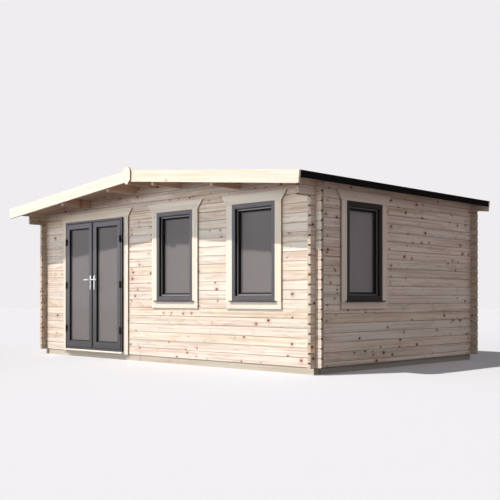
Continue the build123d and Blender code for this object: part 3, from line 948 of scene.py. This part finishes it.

# %% [markdown]
# A window is a set of rings one inside another: the frame, a seal that lines the frame's
# reveal as painted shade, the sash, the bead's gasket that also lines the sash's reveal as
# painted shade, and between the panes a dark spacer. The sash is lighter than the frame
# only as painted light: its foil is a lighter copy. A thin sill with end caps sheds the rain.

# %% Window frames, sashes, gaskets, panes and sills
window_frame_section = profile((-20, -5), (-16, 0), (50, 0), sides=(-20, 50))
sash_section = profile((12, -17), (15, -14), (46, -8), (76, -2), sides=(12, 76))
# Painted shade: this seal lines the whole reveal between the frame's face and the sash.
frame_seal_and_shade_section = profile((-13, -2), (-13, 1), (9, 1.5), (11.9, 4), (11.9, -2))
# The bead's gasket is real, and it also lines the sash's reveal down to the glass as painted
# shade.
sash_gasket_and_shade_section = profile((16.5, -15), (15.5, -12), (40, -1), (47.9, 4), (47.9, -9))
spacer_section = profile((52.1, -10), (52.1, 11), (63.9, 11), (63.9, -10))
nose = in_metres((-45, 2), (-45, 9), (-43, 10.5), (-20, 14.5), (-20, 5), (-41, 2),
                 (-42, 0), (-44, 0))
bed = in_metres((-20, 3), (-20, 14.5), (50, 14.5), (50, 3))
cap = in_metres((-45, 0), (-45, 15), (-21, 15), (-21, 0))
frame_width, sash_width, rebate, sill_reach = 54 * mm, 36 * mm, 24 * mm, 28 * mm
seal_edge, spacer_edge = 0.3 * mm, 0.5 * mm

frame_x = (-window_half, window_half)
frame_z = [end.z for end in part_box("window_frames")]
sash_x, sash_z = shrunk(frame_x, frame_width), shrunk(frame_z, frame_width)
pane_x, pane_z = shrunk(sash_x, rebate), shrunk(sash_z, rebate)
frame_ring = ([frame_width] * 4, frame_x, frame_z)
sash_ring = ([sash_width] * 4, sash_x, sash_z)
frames, sashes, seals, outer_panes, inner_panes, side_panes, spacers, sills = (
    Assembly() for _ in range(8))
for place in window_places:
    mitred_ring(frames, window_frame_section, *frame_ring, place)
    mitred_ring(sashes, sash_section, *sash_ring, place)
    mitred_ring(seals, frame_seal_and_shade_section, *frame_ring, place, seal_edge)
    mitred_ring(seals, sash_gasket_and_shade_section, *sash_ring, place, seal_edge)
    mitred_ring(spacers, spacer_section, *sash_ring, place, spacer_edge)
    glaze(outer_panes, 48, pane_x, pane_z, place)
    glaze(side_panes if place is side_place else inner_panes, 64, pane_x, pane_z, place)
    sill_place = place @ moved(0, 0, sill_bottom)
    sills.add(planed(nose, shrunk(frame_x, -sill_reach), edge=0.5 * mm), sill_place)
    sills.add(planed(bed, frame_x, edge=0.5 * mm), sill_place)
    for x in (-379.5 * mm, 379.5 * mm):
        sills.add(planed(cap, (x - 1.5 * mm, x + 1.5 * mm), edge=0.5 * mm), sill_place)

for assembly, name, material, slot, *stands_for in (
        (frames, "window_frame_profiles", anthracite, "frame_plastic", "window_frames"),
        (sashes, "window_sash_profiles", lit_sash_foil, "frame_plastic", "window_sashes"),
        (seals, "window_seals", seal_and_shade_rubber, "frame_plastic"),
        (outer_panes, "window_outer_panes", clear_glass, "window_glass", "window_glass"),
        (inner_panes, "window_inner_panes", greige_glass, "window_glass"),
        (side_panes, "side_window_inner_pane", lit_side_glass, "window_glass"),
        (spacers, "window_spacers", spacer_metal, "frame_plastic"),
        (sills, "window_sill_profiles", anthracite, "frame_plastic", "window_sills")):
    assembly.finish(name, material, "cabin", slot, *stands_for)

# %% [markdown]
# The double door is built as the windows are, from mitred plastic lengths. Its frame has a
# stop behind the leaves with a black seal, and each leaf is one mitred ring with a tall
# double pane. Everything on a leaf rides on that leaf, so it swings with it.

# %% Door frame and leaves
door_frame_section = profile((-48, -4), (-44, 0), (9, 0), (9, 20), (22, 20),
                             sides=(-48, 22))
door_seal_section = profile((5.5, 11), (5.5, 16), (8.9, 18), (8.9, 9))
leaf_section = profile((-48, -9), (-44, -5), (-21, 0), (4, 0), sides=(-48, 4))
# The leaf's gasket is real, and it also lines the leaf's reveal down to the glass as painted
# shade.
leaf_gasket_and_shade_section = profile((-44.5, -7), (-44.5, -4), (-22, 1.5), (-20.2, 6), (-20.2, -3))
door_spacer_section = profile((-15.9, -10), (-15.9, 11), (-6.1, 11), (-6.1, -10))
leaf_widths = [90 * mm, 75 * mm, 80 * mm, 75 * mm]

door_frame, door_seals = Assembly(), Assembly()
door_ring = ([30 * mm] * 4, door_x, door_z, door_place)
mitred_ring(door_frame, door_frame_section, *door_ring)
door_frame.finish("door_frame_profiles", anthracite, "cabin", "frame_plastic", "door_frame")
mitred_ring(door_seals, door_seal_section, *door_ring, seal_edge)
door_seals.finish("door_frame_seal", seal_and_shade_rubber, "cabin", "frame_plastic")


def reach(node):
    """How far a node reaches in the doorway: its span across, and its span upwards."""
    low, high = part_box(node)
    middle = door_place.translation.x
    return (low.x - middle, high.x - middle), (low.z, high.z)


for side in ("left", "right"):
    body = side + "_door"
    leaf, seal, spacer, outer, inner = (Assembly() for _ in range(5))
    leaf_ring = (leaf_widths, *reach(body + "_leaf"), door_place)
    mitred_ring(leaf, leaf_section, *leaf_ring)
    mitred_ring(seal, leaf_gasket_and_shade_section, *leaf_ring, seal_edge)
    mitred_ring(spacer, door_spacer_section, *leaf_ring, spacer_edge)
    glaze(outer, -20, *reach(body + "_glass"), door_place)
    glaze(inner, -6, *reach(body + "_glass"), door_place)
    leaf.finish(body + "_profiles", anthracite, body, "frame_plastic", body + "_leaf")
    seal.finish(body + "_seal", seal_and_shade_rubber, body, "frame_plastic")
    spacer.finish(body + "_spacer", spacer_metal, body, "frame_plastic")
    outer.finish(body + "_outer_pane", clear_glass, body, "door_glass", body + "_glass")
    inner.finish(body + "_inner_pane", greige_glass, body, "door_glass")

low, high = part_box("meeting_strip")
half_strip = (high.x - low.x) / 2
strip = Assembly()
strip.block((low.z, high.z), (low.y, high.y), (-half_strip, half_strip),
            moved((low.x + high.x) / 2, 0, 0) @ turned(-90, "Y"), edge=2 * mm)
strip.finish("meeting_strip_profile", anthracite, "left_door", "frame_plastic", "meeting_strip")

# %% [markdown]
# Each leaf hangs on three hinges: two short knuckles one above the other on a pin, each
# with a screwed plate, one on the frame and one on the leaf. A plate is joined to its
# knuckle by a short web.

# %% Hinges
def rod(radius, length, edge=0.8 * mm, segments=32):
    """A cylinder that stands on the origin along Z, with eased ends."""
    made = bmesh.new()
    bmesh.ops.create_cone(made, cap_ends=True, segments=segments, radius1=radius,
                          radius2=radius, depth=length)
    bmesh.ops.translate(made, vec=(0, 0, length / 2), verts=made.verts)
    ease(made, edge)
    return made


def span(first, second):
    """Two ends in rising order."""
    return min(first, second), max(first, second)


hinge_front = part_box("door_frame_hinges")[0].y
knuckle, knuckle_height, pin_gap = 9 * mm, 47.5 * mm, 0.5 * mm
flats_start, screw_reach = 3 * mm, 17 * mm
plate_and_web = (((8 * mm, 12 * mm), 25 * mm, 0.8 * mm), ((0, 9 * mm), 7 * mm, 0.5 * mm))
frame_hinges = Assembly()
for side, sign in (("left", 1), ("right", -1)):
    low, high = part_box(side + "_door_hinges")
    axis_x = (low.x + knuckle) if side == "left" else (high.x - knuckle)
    lowest = low.z - pin_gap
    spacing = (high.z - (knuckle_height + pin_gap) - lowest) / 2
    leaf_hinges = Assembly()
    for number in range(3):
        axis = moved(axis_x, hinge_front + knuckle, lowest + number * spacing)
        for hinges, base, away in ((frame_hinges, -(knuckle_height + pin_gap), -sign),
                                   (leaf_hinges, pin_gap, sign)):
            heights = (base, base + knuckle_height)
            hinges.add(rod(knuckle, knuckle_height), axis @ moved(0, 0, base))
            for depths, far, edge in plate_and_web:
                hinges.block(span(away * flats_start, away * far), depths, heights, axis,
                             edge=edge)
            for share in (0.25, 0.75):
                place = axis @ moved(away * screw_reach, 8 * mm,
                                     base + share * knuckle_height)
                hinges.add(screw_head(3.2 * mm), place @ turned(90, "X"))
    leaf_hinges.finish(side + "_door_hinge_leaves", black_coat, side + "_door", "hinge_metal",
                       side + "_door_hinges", smooth=32)
frame_hinges.finish("door_frame_hinge_leaves", black_coat, "cabin", "hinge_metal",
                    "door_frame_hinges", smooth=32)

# %% [markdown]
# A lever handle stands on a long plate with rounded ends, outside and inside, and a lock
# cylinder sits below it. The lever is its own piece, because it turns in the plate: a
# rosette, a stem and a grip that points to the hinges.

# %% Handles
plate_thickness, plate_half, lever_drop, lock_drop = 8 * mm, 14 * mm, 61 * mm, 92 * mm
grip_half, grip_reach, grip_thickness, stand_off = 9 * mm, 107 * mm, 12 * mm, 36 * mm
for side, sign in (("left", -1), ("right", 1)):
    low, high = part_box(side + "_handle_plates")
    plate_x, lever_z = (low.x + high.x) / 2, high.z - lever_drop
    lock_z = lever_z - lock_drop
    plates, levers, locks = Assembly(), Assembly(), Assembly()
    for face_y, out in ((low.y + plate_thickness, -1), (high.y - plate_thickness, 1)):
        front = face_y + out * plate_thickness
        outwards = turned(out * -90, "X")
        plate = planed(rectangle(span(face_y, front), (-plate_half, plate_half)),
                       (low.z, high.z), edge=0)
        corners = [edge for edge in plate.edges
                   if abs((edge.verts[0].co - edge.verts[1].co).y) > plate_thickness / 2]
        bmesh.ops.bevel(plate, geom=corners, offset=plate_half - 0.5 * mm,
                        offset_type="OFFSET", segments=8, profile=0.5, affect="EDGES",
                        material=-1)
        ease(plate, 1.6 * mm, 3)
        plates.add(plate, moved(plate_x, 0, 0) @ turned(-90, "Y"))
        seat = moved(plate_x, front - out * mm, lever_z) @ outwards
        levers.add(rod(10.5 * mm, 5 * mm, 1.5 * mm), seat)
        levers.add(rod(8.5 * mm, 42 * mm, 0), seat)
        near = front + out * stand_off
        levers.block(span(plate_x - sign * grip_half, plate_x + sign * grip_reach),
                     span(near, near + out * grip_thickness), (-grip_half, grip_half),
                     moved(0, 0, lever_z), edge=5 * mm, segments=5)
        locks.add(rod(8.5 * mm, 2.5 * mm, 0.6 * mm),
                  moved(plate_x, front - out * 0.5 * mm, lock_z) @ outwards)
        locks.block((-4.8 * mm, 4.8 * mm), span(front, front + out * 2 * mm), (-22 * mm, 0),
                    moved(plate_x, 0, lock_z), edge=0.8 * mm)
        for z in (14 * mm, 191 * mm):
            plates.add(screw_head(3.4 * mm), moved(plate_x, front, low.z + z) @ outwards)
    for assembly, name, body, *stands_for in (
            (plates, "_handle_back_plates", "_door", side + "_handle_plates"),
            (locks, "_lock_cylinders", "_door"),
            (levers, "_lever_handles", "_lever", side + "_lever")):
        assembly.finish(side + name, satin_chrome, side + body, "handle_metal", *stands_for,
                        smooth=32)

screws.finish("board_screws", screw_metal, "cabin", "hinge_metal", smooth=32)

# %% [markdown]
# A black drip trim closes each eave. It laps over the roof's edge and its lower lip kicks
# out a little, so that water drops clear. Each eave has two lengths with a fine joint. The
# section is drawn for the right eave and mirrored, so its normals are turned out again.

# %% Eave drip trims
low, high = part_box("eave_bands")
face, top, joint = high.x / mm, (high.z - low.z) / mm, 0.3 * mm
outline = in_metres((face - 10, 0), (face - 10, top), (face - 7, top),
                    (face - 1, top - 1.5), (face, top - 5), (face - 2, top - 8),
                    (face - 3, 14), (face, 4), (face, 0), (face - 3, 0), (face - 6, 6))
mirrored_depth = Matrix.Scale(-1, 4, (0, 1, 0))
drips = Assembly()
for half_turn in (0, 180):
    place = moved(0, 0, low.z) @ turned(half_turn + 90, "Z") @ mirrored_depth
    for ends in ((low.y, -joint), (joint, high.y)):
        drips.add(planed(outline, ends, edge=0.7 * mm), place)
bmesh.ops.recalc_face_normals(drips.whole, faces=drips.whole.faces)
drips.finish("eave_drip_trims", drip_plastic, "cabin", "eave_band", "eave_bands")

# %% [markdown]
# The rubber sheet is one piece over the whole roof. It is never quite flat, so it starts as
# a fine grid that is bent over the ridge, with low swells and one faint fold left from the
# roll, and then gets its thickness.

# %% Rubber roof sheet
low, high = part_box("roof_covering_left")[0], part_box("roof_covering_right")[1]
sheet_thickness, below_top, hem = 2.4 * mm, 2.7 * mm, 0.4 * mm
fold_y, fold_width = 350 * mm, 12 * mm
sheet = bmesh.new()
bmesh.ops.create_grid(sheet, x_segments=180, y_segments=120, size=1)
span_x, span_y = (high.x - low.x) / 2, (high.y - low.y) / 2
bmesh.ops.scale(sheet, vec=(span_x - hem, span_y - hem, 1), verts=sheet.verts)
for vertex in sheet.verts:
    x, y, _ = vertex.co
    swell = (noise.noise(Vector((x * 1.3, y * 2.1, 0.3)))
             + 0.5 * noise.noise(Vector((x * 4, y * 3, 4))))
    fold = math.exp(-((y - fold_y - 0.04 * math.sin(3 * x)) / fold_width) ** 2)
    raised = (0.5 + 0.33 * swell) * 1.6 * mm + fold * 0.9 * mm
    vertex.co.z = high.z - below_top + raised - abs(x) * slope
lowered = points_of(bmesh.ops.extrude_face_region(sheet, geom=sheet.faces[:]))
bmesh.ops.translate(sheet, vec=(0, 0, -sheet_thickness), verts=lowered)
bmesh.ops.recalc_face_normals(sheet, faces=sheet.faces)
covering = Assembly()
covering.add(sheet)
covering.finish("roof_rubber_sheet", rubber, "cabin", "roof_membrane",
                "roof_covering_left", "roof_covering_right")

# %% [markdown]
# The dressing must stay inside the carpentry's own box.
